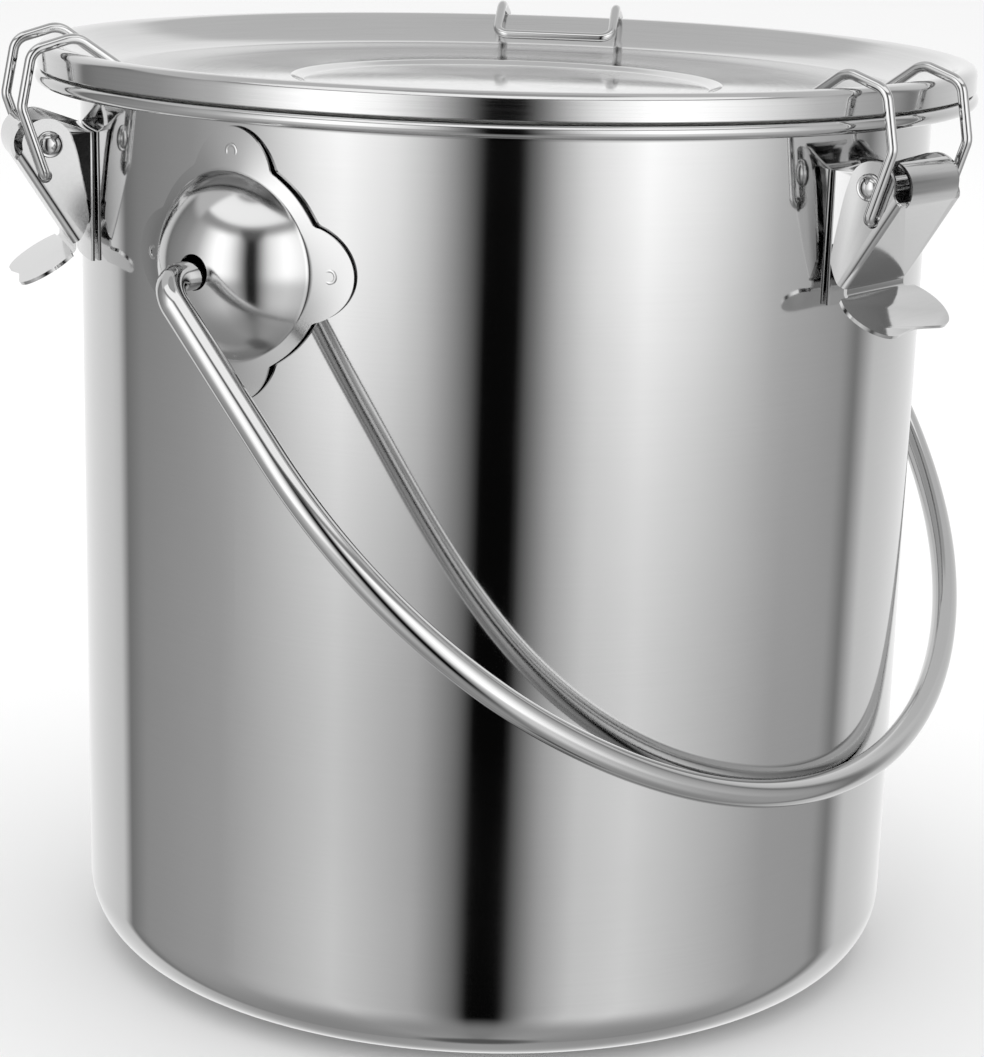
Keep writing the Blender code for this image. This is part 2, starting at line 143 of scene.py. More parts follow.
TAB_ROOT_SIDE = 14.6
TAB_SIDE = 21.8
BORE_REACH = 30.0
EDGE_ROUND = 0.15
LEVER_BEND = 2.4                # outer radius of the bends between face and cheeks
CHEEK_DEPTH = 32.0
SLOT_SIDE = 13.9                # relief slots beside the tongue
SLOT_RADIUS = 1.7
TONGUE_LAP = 0.6                # the tongue starts this far down the face

# ---------------------------------------------------------------- camera
CAMERA_AZIMUTH = 214.5
CAMERA_DISTANCE = 872.9
CAMERA_HEIGHT = 344.8
CAMERA_PITCH = 15.42            # degrees down
CAMERA_ROLL = 1.62
CAMERA_LENS = 99.0
CAMERA_SHIFT = 0.0676


def make_camera():
    data = bpy.data.cameras.new("camera")
    data.lens = CAMERA_LENS
    data.shift_y = CAMERA_SHIFT
    data.clip_start = 0.05
    camera = bpy.data.objects.new("camera", data)
    bpy.context.scene.collection.objects.link(camera)
    turn = radians(CAMERA_AZIMUTH)
    place = Vector((cos(turn), sin(turn), 0)) * CAMERA_DISTANCE + Vector((0, 0, CAMERA_HEIGHT))
    yaw = Matrix.Rotation(turn + pi / 2, 4, "Z")
    pitch = Matrix.Rotation(pi / 2 - radians(CAMERA_PITCH), 4, "X")
    roll = Matrix.Rotation(radians(CAMERA_ROLL), 4, "Z")
    camera.matrix_world = Matrix.Translation(place * MM) @ yaw @ pitch @ roll
    bpy.context.scene.camera = camera


# ---------------------------------------------------------------- studio
# Brightness of the panels round the can, by degrees from the camera: at the horizon, and lower down.
PANELS = ((-180, .84), (-131, .74), (-126, .68), (-121, .40), (-114, .46), (-90, .53), (-70, .68),
          (-50, 1.01), (-42, 1.07), (-28, .97), (-20, .82), (-9, .44), (-6.4, .30), (-4.8, .07),
          (4.8, .08), (6.4, .33), (9, .45), (15, .72), (22, .90), (38, 1.07), (55, .95), (78, .70),
          (105, .56), (112, .41), (122, .7), (180, .84))
LOW_PANELS = ((-180, .84), (-126, .72), (-121, .42), (-112, .52), (-80, .58), (-43, .765),
              (-20, .635), (-9, .42), (-6.2, .28), (-4.6, .055), (5.2, .055), (7, .3), (9, .4),
              (15, .6), (25, .75), (40, .8), (60, .71), (85, .585), (106, .56), (113, .43),
              (122, .72), (180, .84))
STEEL_SHINE = 0.66
DISPLAY_POWER = 2.2

# Heights are the upward share of a direction: 1 straight up, 0 at the horizon, -1 straight down.
LOW_EDGE = (-0.10, -0.36)       # the low panels take over here
UNDER_EDGE = (-0.58, -0.92)
UNDER_SHARE = 0.85
UNDER_LEVEL = 0.33
NADIR_EDGE = (-0.985, -0.999)
NADIR_LEVEL = 0.12
AHEAD_EDGE = (0.0, 0.12)        # the side of the room that the camera stands on
CEILING_EDGE = (0.50, 0.62)
CEILING_FAR_LEVEL = 0.66
CEILING_NEAR_LEVEL = 0.36
BAR_EDGES = ((0.42, 0.58), (0.62, 0.68))    # a dark bar under the softbox
BAR_FLARE = 0.42                # its half width grows by this share of the height
BAR_SIDE_EDGE = (0.04, -0.10)
BAR_LEVEL = 0.10
BOX_EDGES = ((0.67, 0.72), (0.93, 0.955))   # the softbox over the camera
BOX_LEVEL = 1.3
ZENITH_EDGE = (0.95, 0.975)
ZENITH_LEVEL = 0.45
FILL_LEVEL = 1.02               # what matt surfaces are lit by
BACKDROP_LEVEL = 1.0            # what the camera sees past the floor

FLOOR_HALF = 6.0                # metres, like the lamp's sizes
LAMP_WIDTH = 2.5
LAMP_HEIGHT = 2.2
LAMP_POWER = 12


def link(tree, source, target):
    tree.links.new(source, target)


def ramp(tree, stops, value):
    """A colour ramp whose stops run from -180 to 180 degrees."""
    node = tree.nodes.new("ShaderNodeValToRGB")
    elements = node.color_ramp.elements
    for index, (angle, shade) in enumerate(stops):
        place = (angle + 180) / 360
        if index < 2:
            element = elements[index]
            element.position = place
        else:
            element = elements.new(place)
        level = shade ** DISPLAY_POWER / STEEL_SHINE
        element.color = (level, level, level, 1)
    link(tree, value, node.inputs[0])
    return node.outputs[0]


def math_node(tree, operation, *values):
    node = tree.nodes.new("ShaderNodeMath")
    node.operation = operation
    for socket, value in zip(node.inputs, values):
        if isinstance(value, (int, float)):
            socket.default_value = value
        else:
            link(tree, value, socket)
    return node.outputs[0]


def fade(tree, value, start, end):
    """0 at start, 1 at end, smooth between."""
    node = tree.nodes.new("ShaderNodeMapRange")
    node.interpolation_type = "SMOOTHSTEP"
    node.inputs["From Min"].default_value = start
    node.inputs["From Max"].default_value = end
    link(tree, value, node.inputs["Value"])
    return node.outputs["Result"]


def band(tree, value, rise, fall):
    """1 between two soft edges, 0 outside them."""
    return math_node(tree, "SUBTRACT", fade(tree, value, *rise), fade(tree, value, *fall))


def mix(tree, amount, first, second):
    """The first colour at amount 0, the second at 1. A colour is a socket or four numbers."""
    node = tree.nodes.new("ShaderNodeMix")
    node.data_type = "RGBA"
    link(tree, amount, node.inputs[0])
    for socket, value in ((node.inputs[6], first), (node.inputs[7], second)):
        if isinstance(value, tuple):
            socket.default_value = value
        else:
            link(tree, value, socket)
    return node.outputs[2]


def grey(level):
    return (level, level, level, 1.0)


def make_world():
    """The room that the steel reflects, with a plain pale backdrop for the camera."""
    world = bpy.data.worlds.new("studio")
    world.use_nodes = True
    bpy.context.scene.world = world
    tree = world.node_tree
    tree.nodes.clear()
    coords = tree.nodes.new("ShaderNodeTexCoord")
    turn = tree.nodes.new("ShaderNodeMapping")
    turn.inputs["Rotation"].default_value = (0, 0, -radians(CAMERA_AZIMUTH))
    link(tree, coords.outputs["Generated"], turn.inputs["Vector"])
    parts = tree.nodes.new("ShaderNodeSeparateXYZ")
    link(tree, turn.outputs[0], parts.inputs[0])
    azimuth = math_node(tree, "ARCTAN2", parts.outputs[1], parts.outputs[0])
    place = math_node(tree, "MULTIPLY_ADD", azimuth, 1 / (2 * pi), 0.5)
    height = parts.outputs[2]
    level = ramp(tree, PANELS, place)
    low = ramp(tree, LOW_PANELS, place)
    shade = mix(tree, fade(tree, height, *LOW_EDGE), level, low)
    under = math_node(tree, "MULTIPLY", fade(tree, height, *UNDER_EDGE), UNDER_SHARE)
    shade = mix(tree, under, shade, grey(UNDER_LEVEL))
    shade = mix(tree, fade(tree, height, *NADIR_EDGE), shade, grey(NADIR_LEVEL))
    ahead = fade(tree, parts.outputs[0], *AHEAD_EDGE)
    ceiling = mix(tree, ahead, grey(CEILING_FAR_LEVEL), grey(CEILING_NEAR_LEVEL))
    shade = mix(tree, fade(tree, height, *CEILING_EDGE), shade, ceiling)
    offside = math_node(tree, "ABSOLUTE", parts.outputs[1])
    flare = math_node(tree, "MULTIPLY_ADD", height, -BAR_FLARE, offside)
    bar = math_node(tree, "MULTIPLY", band(tree, height, *BAR_EDGES), fade(tree, flare, *BAR_SIDE_EDGE))
    bar = math_node(tree, "MULTIPLY", bar, ahead)
    shade = mix(tree, bar, shade, grey(BAR_LEVEL))
    box = math_node(tree, "MULTIPLY", band(tree, height, *BOX_EDGES), ahead)
    shade = mix(tree, box, shade, grey(BOX_LEVEL))
    shade = mix(tree, fade(tree, height, *ZENITH_EDGE), shade, grey(ZENITH_LEVEL))
    path = tree.nodes.new("ShaderNodeLightPath")
    seen = mix(tree, path.outputs["Is Diffuse Ray"], shade, grey(FILL_LEVEL))
    seen = mix(tree, path.outputs["Is Camera Ray"], seen, grey(BACKDROP_LEVEL))
    background = tree.nodes.new("ShaderNodeBackground")
    link(tree, seen, background.inputs["Color"])
    output = tree.nodes.new("ShaderNodeOutputWorld")
    link(tree, background.outputs[0], output.inputs[0])


def make_floor():
    """The pale floor, which the steel does not reflect, and a wide lamp over it."""
    mesh = bpy.data.meshes.new("floor")
    shape = bmesh.new()
    bmesh.ops.create_grid(shape, x_segments=1, y_segments=1, size=FLOOR_HALF)
    shape.to_mesh(mesh)
    shape.free()
    floor = bpy.data.objects.new("floor", mesh)
    bpy.context.scene.collection.objects.link(floor)
    paint = bpy.data.materials.new("pale_floor")
    paint.use_nodes = True
    shader = paint.node_tree.nodes["Principled BSDF"]
    shader.inputs["Base Color"].default_value = grey(0.9)
    shader.inputs["Roughness"].default_value = 0.9
    shader.inputs["Specular IOR Level"].default_value = 0.0
    mesh.materials.append(paint)
    floor.visible_glossy = False
    data = bpy.data.lights.new("overhead", "AREA")
    data.shape = "DISK"
    data.size = LAMP_WIDTH
    data.energy = LAMP_POWER
    lamp = bpy.data.objects.new("overhead", data)
    lamp.location = (0, 0, LAMP_HEIGHT)
    lamp.visible_glossy = False
    lamp.visible_camera = False
    bpy.context.scene.collection.objects.link(lamp)


# ---------------------------------------------------------------- materials
CLOUD_SIZE = 14                 # noise scales, per metre
GRAIN_SIZE = 2600
GRAIN_STRETCH = (0.012, 1, 1)
GRAIN_DEPTH = 0.00001           # metres


def round_coords(tree, coords):
    """Texture coordinates that run round the can: arc length, radius and height."""
    parts = tree.nodes.new("ShaderNodeSeparateXYZ")
    link(tree, coords, parts.inputs[0])
    across = math_node(tree, "POWER", parts.outputs[0], 2.0)
    along = math_node(tree, "POWER", parts.outputs[1], 2.0)
    radius = math_node(tree, "SQRT", math_node(tree, "ADD", across, along))
    turn = math_node(tree, "ARCTAN2", parts.outputs[1], parts.outputs[0])
    joined = tree.nodes.new("ShaderNodeCombineXYZ")
    link(tree, math_node(tree, "MULTIPLY", turn, BODY_TOP_RADIUS * MM), joined.inputs[0])
    link(tree, radius, joined.inputs[1])
    link(tree, parts.outputs[2], joined.inputs[2])
    return joined.outputs[0]


def steel(name, shade, roughness, scratch, grain, ringed=False):
    """Polished steel: faint clouding, an uneven polish and a fine grain.

    Ringed steel has its grain round the can, as a spun or turned piece has.
    """
    made = bpy.data.materials.new(name)
    made.use_nodes = True
    tree = made.node_tree
    shader = tree.nodes["Principled BSDF"]
    shader.inputs["Metallic"].default_value = 1.0
    coords = tree.nodes.new("ShaderNodeTexCoord").outputs["Object"]
    if ringed:
        coords = round_coords(tree, coords)

    def noise(size, detail, stretch=(1, 1, 1)):
        mapping = tree.nodes.new("ShaderNodeMapping")
        mapping.inputs["Scale"].default_value = stretch
        link(tree, coords, mapping.inputs[0])
        node = tree.nodes.new("ShaderNodeTexNoise")
        node.inputs["Scale"].default_value = size
        node.inputs["Detail"].default_value = detail
        link(tree, mapping.outputs[0], node.inputs["Vector"])
        return node.outputs["Fac"]

    cloud = fade(tree, noise(CLOUD_SIZE, 4), 0.35, 0.75)
    line = fade(tree, noise(GRAIN_SIZE, 1, GRAIN_STRETCH), 0.3, 0.7)
    half_cloud = math_node(tree, "MULTIPLY", cloud, 0.5)
    wear = math_node(tree, "MULTIPLY_ADD", line, grain * 0.5, half_cloud)
    link(tree, mix(tree, wear, grey(shade), grey(shade * 0.93)), shader.inputs["Base Color"])
    polish = math_node(tree, "MULTIPLY_ADD", cloud, roughness * 0.6, roughness * 0.7)
    rough = math_node(tree, "MULTIPLY_ADD", line, roughness * grain * 0.5, polish)
    link(tree, rough, shader.inputs["Roughness"])
    bump = tree.nodes.new("ShaderNodeBump")
    bump.inputs["Strength"].default_value = scratch
    bump.inputs["Distance"].default_value = GRAIN_DEPTH
    link(tree, math_node(tree, "MULTIPLY", line, grain), bump.inputs["Height"])
    link(tree, bump.outputs[0], shader.inputs["Normal"])
    return made


def silicone():
    made = bpy.data.materials.new("silicone")
    made.use_nodes = True
    tree = made.node_tree
    shader = tree.nodes["Principled BSDF"]
    coords = tree.nodes.new("ShaderNodeTexCoord")
    node = tree.nodes.new("ShaderNodeTexNoise")
    node.inputs["Scale"].default_value = 80
    link(tree, coords.outputs["Object"], node.inputs["Vector"])
    colour = mix(tree, node.outputs["Fac"], (0.84, 0.84, 0.82, 1), (0.88, 0.88, 0.86, 1))
    link(tree, colour, shader.inputs["Base Color"])
    shader.inputs["Roughness"].default_value = 0.45
    return made


# ---------------------------------------------------------------- modelling helpers
def arc(centre, radius, start, end, count):
    """Points of an arc in degrees, both ends included."""
    turns = [radians(start + (end - start) * k / count) for k in range(count + 1)]
    return [(centre[0] + radius * cos(a), centre[1] + radius * sin(a)) for a in turns]


def rounded_path(points, radii, count):
    """A polyline whose inner points become arcs of the given radii."""
    route = [Vector(points[0])]
    for before, here, after, radius in zip(points, points[1:], points[2:], radii):
        here = Vector(here)
        back = (Vector(before) - here).normalized()
        ahead = (Vector(after) - here).normalized()
        half = back.angle(ahead) / 2
        centre = here + (back + ahead).normalized() * (radius / sin(half))
        first = here + back * (radius / tan(half)) - centre
        axis = back.cross(ahead)
        swing = pi - 2 * half
        route += [centre + Matrix.Rotation(-swing * k / count, 3, axis) @ first
                  for k in range(count + 1)]
    route.append(Vector(points[-1]))
    return route


def show(name, mesh, finish, body, nodes, sharp=35):
    """A finished piece: its mesh, material, body and the CAD nodes it stands for."""
    made = bpy.data.objects.new(name, mesh)
    bpy.context.scene.collection.objects.link(made)
    mesh.materials.clear()
    mesh.materials.append(finish)
    mesh.shade_smooth()
    mesh.set_sharp_from_angle(angle=radians(sharp))
    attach(made, body)
    if nodes:
        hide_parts(*nodes)


def evaluated(holder, name):
    """The mesh that an object's modifiers or curve settings make. The object goes."""
    bpy.context.view_layer.update()
    result = holder.evaluated_get(bpy.context.evaluated_depsgraph_get())
    mesh = bpy.data.meshes.new_from_object(result)
    mesh.name = name
    mesh.transform(holder.matrix_world)
    bpy.data.objects.remove(holder)
    return mesh


def turned(name, profile, steps=TURN_STEPS):
    """A mesh turned about Z from a closed or axis-to-axis profile in mm."""
    mesh = bpy.data.meshes.new(name)
    points = [(r * MM, 0.0, z * MM) for r, z in profile]
    mesh.from_pydata(points, [(k, k + 1) for k in range(len(points) - 1)], [])
    holder = bpy.data.objects.new(name, mesh)
    bpy.context.scene.collection.objects.link(holder)
    screw = holder.modifiers.new("turn", "SCREW")
    screw.steps = steps
    screw.render_steps = steps
    screw.use_merge_vertices = True
    screw.merge_threshold = 0.000001
    return evaluated(holder, name)


def wire(name, route, radius):
    """The mesh of a round wire along a route in mm."""
    curve = bpy.data.curves.new(name, "CURVE")
    curve.dimensions = "3D"
    curve.bevel_depth = radius * MM
    curve.bevel_resolution = 7
    curve.use_fill_caps = True
    spline = curve.splines.new("POLY")
    spline.points.add(len(route) - 1)
    for point, place in zip(spline.points, route):
        point.co = (*(Vector(place) * MM), 1.0)
    holder = bpy.data.objects.new(name, curve)
    bpy.context.scene.collection.objects.link(holder)
    mesh = evaluated(holder, name)
    shape = bmesh.new()
    shape.from_mesh(mesh)
    bmesh.ops.remove_doubles(shape, verts=shape.verts, dist=0.000001)
    shape.to_mesh(mesh)
    shape.free()
    return mesh


# ---------------------------------------------------------------- pail, lid and gasket
def pail_profile():
    """From the middle of the floor, up the inside, over the rolled hem and down the outside."""
    low_inside = BODY_LOW_RADIUS - SHEET
    top_inside = BODY_TOP_RADIUS - SHEET
    corner = BODY_LOW_RADIUS - BOTTOM_CORNER
    flare = FLANGE_Z - FLARE_START_Z
    flare_centre = BODY_TOP_RADIUS + flare - SHEET
    inside = [(0.0, SHEET)]
    inside += arc((corner, BOTTOM_CORNER), low_inside - corner, -90, 0, 20)
    inside += arc((flare_centre, FLARE_START_Z), flare_centre - top_inside, 180, 90, 10)
    bead = arc(BEAD_CENTRE, BEAD_RADIUS, 150, -165, 30)
    roll = arc(BEAD_CENTRE, BEAD_RADIUS - BEAD_SHEET, -165, 120, 24)
    under = arc((flare_centre, FLARE_START_Z), flare_centre - BODY_TOP_RADIUS, 90, 180, 10)
    outside = arc((corner, BOTTOM_CORNER), BOTTOM_CORNER, 0, -90, 24)
    return inside + bead + roll + under + outside + [(0.0, 0.0)]


def smooth_through(points, count):
    """A Catmull-Rom curve through the points."""
    ends = [points[0]] + list(points) + [points[-1]]
    made = []
    for a, b, c, d in zip(ends, ends[1:], ends[2:], ends[3:]):
        for k in range(count):
            t = k / count
            made.append(tuple(
                0.5 * (2 * q + (r - p) * t + (2 * p - 5 * q + 4 * r - s) * t * t
                       + (3 * q - p - 3 * r + s) * t ** 3)
                for p, q, r, s in zip(a, b, c, d)))
    return made + [points[-1]]


def lid_profile():
    """Out along the top, over the crest, down the skirt, and back underneath."""
    floor = LID_FLOOR_Z
    middle = floor - LID_STEP
    step = smooth_through([(LID_STEP_RADIUS - 2.4, middle), (LID_STEP_RADIUS - 1.5, middle + 0.05),
                           (LID_STEP_RADIUS + 1.5, floor - 0.05), (LID_STEP_RADIUS + 2.4, floor)], 5)
    slope = smooth_through([(100.0, floor), (114.0, floor + 0.7), (120.0, floor + 2.1),
                            (125.5, floor + 4.7), (129.8, floor + 7.4), (132.2, floor + 8.9),
                            (134.4, floor + 9.5), (136.4, floor + 9.1), (137.5, floor + 7.9),
                            (LID_RADIUS, floor + 6.5)], 6)
    top = [(0.0, middle)] + step + slope
    skirt = [(LID_RADIUS, LID_SKIRT_Z + 0.3), (LID_RADIUS - 0.3, LID_SKIRT_Z),
             (LID_RADIUS - 0.6, LID_SKIRT_Z), (LID_RADIUS - SHEET, LID_SKIRT_Z + 0.3)]
    under = smooth_through([(LID_RADIUS - SHEET, floor + 6.7), (136.0, floor + 8.2),
                            (134.4, floor + 8.6), (132.6, floor + 8.1), (129.45, floor + 6.6),
                            (125.15, floor + 3.9), (119.65, floor + 1.3), (113.65, floor - 0.1),
                            (100.0, floor - SHEET)], 5)
    under += [(LID_STEP_RADIUS + 2.0, floor - SHEET), (LID_STEP_RADIUS - 2.0, middle - SHEET),
              (0.0, middle - SHEET)]
    return top + skirt + under


def make_vessel(sheet, lid_sheet, rubber):
    seat = FLANGE_Z + GAP
    ring = [(128.0, seat + 0.1), (128.0, 269.2), (130.6, 270.9), (133.4, 272.0), (133.4, seat + 0.8),
            (128.0, seat + 0.1)]
    for name, profile, finish, body, slot, node in (
            ("pail_shell", pail_profile(), sheet, "pail", "sheet_steel", "pail_body"),
            ("lid_pressing", lid_profile(), lid_sheet, "lid", "sheet_steel", "lid"),
            ("gasket_ring", ring, rubber, "lid", "silicone", "lid_gasket")):
        show(name, turned(name, profile), finish, body, [node])


# ---------------------------------------------------------------- ear plates
def lobe_outline(angle):
    """Distance from the ear's centre to the plate's edge, with a lobe at each quarter turn."""
    quarter = (angle + pi / 4) % (pi / 2) - pi / 4
    lobe_centre = LOBE_REACH - LOBE_RADIUS
    side = lobe_centre * sin(quarter)
    reach = lobe_centre * cos(quarter) + sqrt(max(0.0, LOBE_RADIUS ** 2 - side ** 2))
    higher = max(reach, LOBE_NOTCH)
    lower = min(reach, LOBE_NOTCH)
    return higher + LOBE_BLEND * max(0.0, 1 - (higher - lower) / LOBE_BLEND) ** 2 / 4


def dome_point(fraction, turn):
    """A point of the dome's outside: fraction 0 at the hole, 1 at the rim."""
    rise = DOME_TOP_X - DOME_RIM_X
    ball = (DOME_RADIUS ** 2 + rise ** 2) / (2 * rise)
    first = asin(DOME_HOLE / ball)
    last = asin(DOME_RADIUS / ball)
    slant = first + (last - first) * fraction
    reach = ball * sin(slant)
    rim_x = flange_x(DOME_RADIUS, DOME_RADIUS * cos(turn))
    x = DOME_TOP_X - ball * (1 - cos(slant)) + (rim_x - DOME_RIM_X) * (reach / DOME_RADIUS) ** 4
    return x, reach * cos(turn), reach * sin(turn)


def flange_x(reach, y):
    """How far out the flange's face lies: on the wall at the tips of the lobes, raised inwards."""
    face = BODY_TOP_RADIUS + GAP + SHEET
    fall = (reach - DOME_RADIUS) / (LOBE_REACH - DOME_RADIUS)
    return sqrt(face ** 2 - y ** 2) + EAR_LIFT * (1 - fall) ** 2


def flange_point(fraction, turn):
    """A point of the flange's outside: fraction 0 at the dome's rim, 1 at the plate's edge."""
    reach = DOME_RADIUS + (lobe_outline(turn) - DOME_RADIUS) * fraction
    y = reach * cos(turn)
    return flange_x(reach, y), y, reach * sin(turn)


def ear_surface():
    """The outside of an ear that faces +X: a domed cap on a flange that lies along the wall."""
    rings = [(dome_point, k / 30) for k in range(30)] + [(dome_point, 0.99), (flange_point, 0.03)]
    rings += [(flange_point, 0.1 + 0.9 * k / 12) for k in range(13)]
    shape = bmesh.new()
    loops = []
    for point_at, fraction in rings:
        loop = []
        for j in range(EAR_AROUND):
            x, y, z = point_at(fraction, 2 * pi * j / EAR_AROUND)
            loop.append(shape.verts.new((x * MM, y * MM, (z + EAR_HEIGHT) * MM)))
        loops.append(loop)
    for inner, outer in zip(loops, loops[1:]):
        for j in range(EAR_AROUND):
            after = (j + 1) % EAR_AROUND
            shape.faces.new((inner[j], outer[j], outer[after], inner[after]))
    mesh = bpy.data.meshes.new("ear_surface")
    shape.to_mesh(mesh)
    shape.free()
    return mesh


def weld_marks():
    """The raised rings round the spot welds, one on each lobe of an ear that faces +X."""
    shape = bmesh.new()
    for k in range(4):
        turn = k * pi / 2
        y, z = WELD_REACH * cos(turn), WELD_REACH * sin(turn)
        lean = Matrix.Rotation(atan2(y, BODY_TOP_RADIUS), 4, "Z") @ Matrix.Rotation(pi / 2, 4, "Y")
        mark = turned("mark", WELD_RING, 40)
        place = Vector((flange_x(WELD_REACH, y), y, z + EAR_HEIGHT)) * MM
        mark.transform(Matrix.Translation(place) @ lean)
        shape.from_mesh(mark)
    mesh = bpy.data.meshes.new("weld_marks")
    shape.to_mesh(mesh)
    shape.free()
    return mesh


def make_ears(finish):
    for name, turn in (("right", 0.0), ("left", pi)):
        holder = bpy.data.objects.new("ear", ear_surface())
        bpy.context.scene.collection.objects.link(holder)
        holder.rotation_euler = (0.0, 0.0, turn)
        thick = holder.modifiers.new("sheet", "SOLIDIFY")
        thick.thickness = SHEET * MM
        thick.offset = -1.0
        show("ear_pressing_" + name, evaluated(holder, "ear_pressing_" + name), finish, "pail",
             ["ear_plate_" + name], 50)
        marks = weld_marks()
        marks.transform(Matrix.Rotation(turn, 4, "Z"))
        show("ear_welds_" + name, marks, finish, "pail", [])


# ---------------------------------------------------------------- handle
def handle_half():
    """The handle's +X half in its own plane: out from the middle, as (x, depth) pairs."""
    middle = (0.0, HANDLE_ARC_DEPTH)
    shift = HANDLE_ARC - HANDLE_CORNER
    turn = radians(HANDLE_CORNER_START)
    corner = (shift * cos(turn), HANDLE_ARC_DEPTH + shift * sin(turn))
    half = arc(middle, HANDLE_ARC, 90, HANDLE_CORNER_START, 70)
    half += arc(corner, HANDLE_CORNER, HANDLE_CORNER_START, HANDLE_LEG_LEAN, 50)[1:]
    lean = radians(HANDLE_LEG_LEAN)
    hook_start = HANDLE_HOOK * (1 - sin(lean))
    leg = (half[-1][1] - hook_start) / cos(lean)
    top = (half[-1][0] + leg * sin(lean), hook_start)
    hook = (top[0] - HANDLE_HOOK * cos(lean), HANDLE_HOOK)
    half += arc(hook, HANDLE_HOOK, -HANDLE_LEG_LEAN, -90, 20)
    return half + [(HANDLE_END_X, 0.0)]


def make_handle(finish):
    half = handle_half()
    depth = HANDLE_ARC + HANDLE_ARC_DEPTH
    slant = asin((BODY_LOW_RADIUS + HANDLE_WALL_GAP + HANDLE_WIRE) / depth)
    flat = [(-x, d) for x, d in reversed(half)] + half[1:]
    route = [(x, -d * sin(slant), HANDLE_AXIS_Z - d * cos(slant)) for x, d in flat]
    show("handle_wire", wire("handle_wire", route, HANDLE_WIRE), finish, "handle",
         ["handle"], 50)


# ---------------------------------------------------------------- latches
def bail_route():
    """The bail's centre line in a latch that faces +X."""
    def place(out_up, side):
        return (PIVOT[0] + out_up[0], side, PIVOT[1] + out_up[1])
    half = [place(BAIL_HOLE, BAIL_END_SIDE), place(BAIL_HOLE, BAIL_SIDE)]
    half += [place(point, BAIL_SIDE) for point in BAIL_POINTS]
    points = half + [(x, -y, z) for x, y, z in reversed(half)]
    return rounded_path(points, BAIL_RADII + BAIL_RADII[::-1], 12)


def plate(name, outline, low, high, place):
    """A flat outline in mm, filled, made thick along its own Z, and put in place by a matrix in mm."""
    curve = bpy.data.curves.new(name, "CURVE")
    curve.dimensions = "2D"
    curve.fill_mode = "BOTH"
    curve.extrude = (high - low) / 2
    spline = curve.splines.new("POLY")
    spline.points.add(len(outline) - 1)
    for point, (x, y) in zip(spline.points, outline):
        point.co = (x, y, 0.0, 1.0)
    spline.use_cyclic_u = True
    holder = bpy.data.objects.new(name, curve)
    bpy.context.scene.collection.objects.link(holder)
    mesh = evaluated(holder, name)
    shape = bmesh.new()
    shape.from_mesh(mesh)
    bmesh.ops.remove_doubles(shape, verts=shape.verts, dist=0.0001)
    bmesh.ops.translate(shape, verts=shape.verts, vec=(0, 0, (high + low) / 2))
    bmesh.ops.transform(shape, verts=shape.verts, matrix=place)
    bmesh.ops.recalc_face_normals(shape, faces=shape.faces)
    shape.to_mesh(mesh)
    shape.free()
    return mesh


def rod(name, radius, half_length, place):
    """A cylinder in mm along its own Z, put in place by a matrix."""
    mesh = bpy.data.meshes.new(name)
    shape = bmesh.new()
    bmesh.ops.create_cone(shape, cap_ends=True, segments=40, radius1=radius, radius2=radius,
                          depth=2 * half_length)
    bmesh.ops.transform(shape, verts=shape.verts, matrix=place)
    shape.to_mesh(mesh)
    shape.free()
    return mesh


def combined(name, first, steps):
    """A mesh after a row of Boolean steps, each an operation and another mesh."""
    holder = bpy.data.objects.new(name, first)
    bpy.context.scene.collection.objects.link(holder)
    tools = []
    for operation, mesh in steps:
        tool = bpy.data.objects.new("tool", mesh)
        bpy.context.scene.collection.objects.link(tool)
        tools.append(tool)
        boolean = holder.modifiers.new(operation, "BOOLEAN")
        boolean.operation = operation
        boolean.object = tool
    mesh = evaluated(holder, name)
    for tool in tools:
        bpy.data.objects.remove(tool)
    return mesh


def softened(name, mesh, width):
    """The mesh with its sharp edges rounded by a width in mm. The result is in metres."""
    holder = bpy.data.objects.new(name, mesh)
    bpy.context.scene.collection.objects.link(holder)
    bevel = holder.modifiers.new("edges", "BEVEL")
    bevel.width = width
    bevel.segments = 2
    bevel.limit_method = "ANGLE"
    bevel.angle_limit = radians(50)
    made = evaluated(holder, name)
    made.transform(Matrix.Scale(MM, 4))
    return made


def side_place():
    """Turns an out-and-up outline, drawn from the pin, to stand in a latch that faces +X."""
    stand = Matrix(((1, 0, 0), (0, 0, -1), (0, 1, 0))).to_4x4()
    return Matrix.Translation((PIVOT[0], 0, PIVOT[1])) @ stand


def cross_place(out_up):
    """Turns a rod to lie across the latch at a place given from the pin."""
    place = Matrix.Translation((PIVOT[0] + out_up[0], 0, PIVOT[1] + out_up[1]))
    return place @ Matrix.Rotation(pi / 2, 4, "X")


def bracket_mesh():
    """The bracket: a base curved like the wall, with two ears bent up beside the pin."""
    inner = BODY_TOP_RADIUS + GAP
    half = (EAR_SIDE - 0.02) / inner
    base = [(inner * cos(half * k / 16), inner * sin(half * k / 16)) for k in range(-16, 17)]
    base += [((inner + LATCH_SHEET) * cos(half * k / 16), (inner + LATCH_SHEET) * sin(half * k / 16))
             for k in range(16, -17, -1)]
    middle = inner + LATCH_SHEET / 2
    wall = sqrt(middle ** 2 - EAR_SIDE ** 2) - PIVOT[0]
    ear = arc((0, 0), BRACKET_ROUND, -75, 105, 32)
    ear += [(wall, BRACKET_Z[1] - PIVOT[1]), (wall, -17.0)]
    steps = []
    for low in (EAR_SIDE - LATCH_SHEET, -EAR_SIDE):
        steps.append(("UNION", plate("bracket_ear", ear, low, low + LATCH_SHEET, side_place())))
    steps.append(("DIFFERENCE", rod("bore", PIN_RADIUS + HOLE_EXTRA, BORE_REACH, cross_place((0, 0)))))
    back = plate("bracket", base, *BRACKET_Z, Matrix())
    return softened("bracket", combined("bracket", back, steps), EDGE_ROUND)


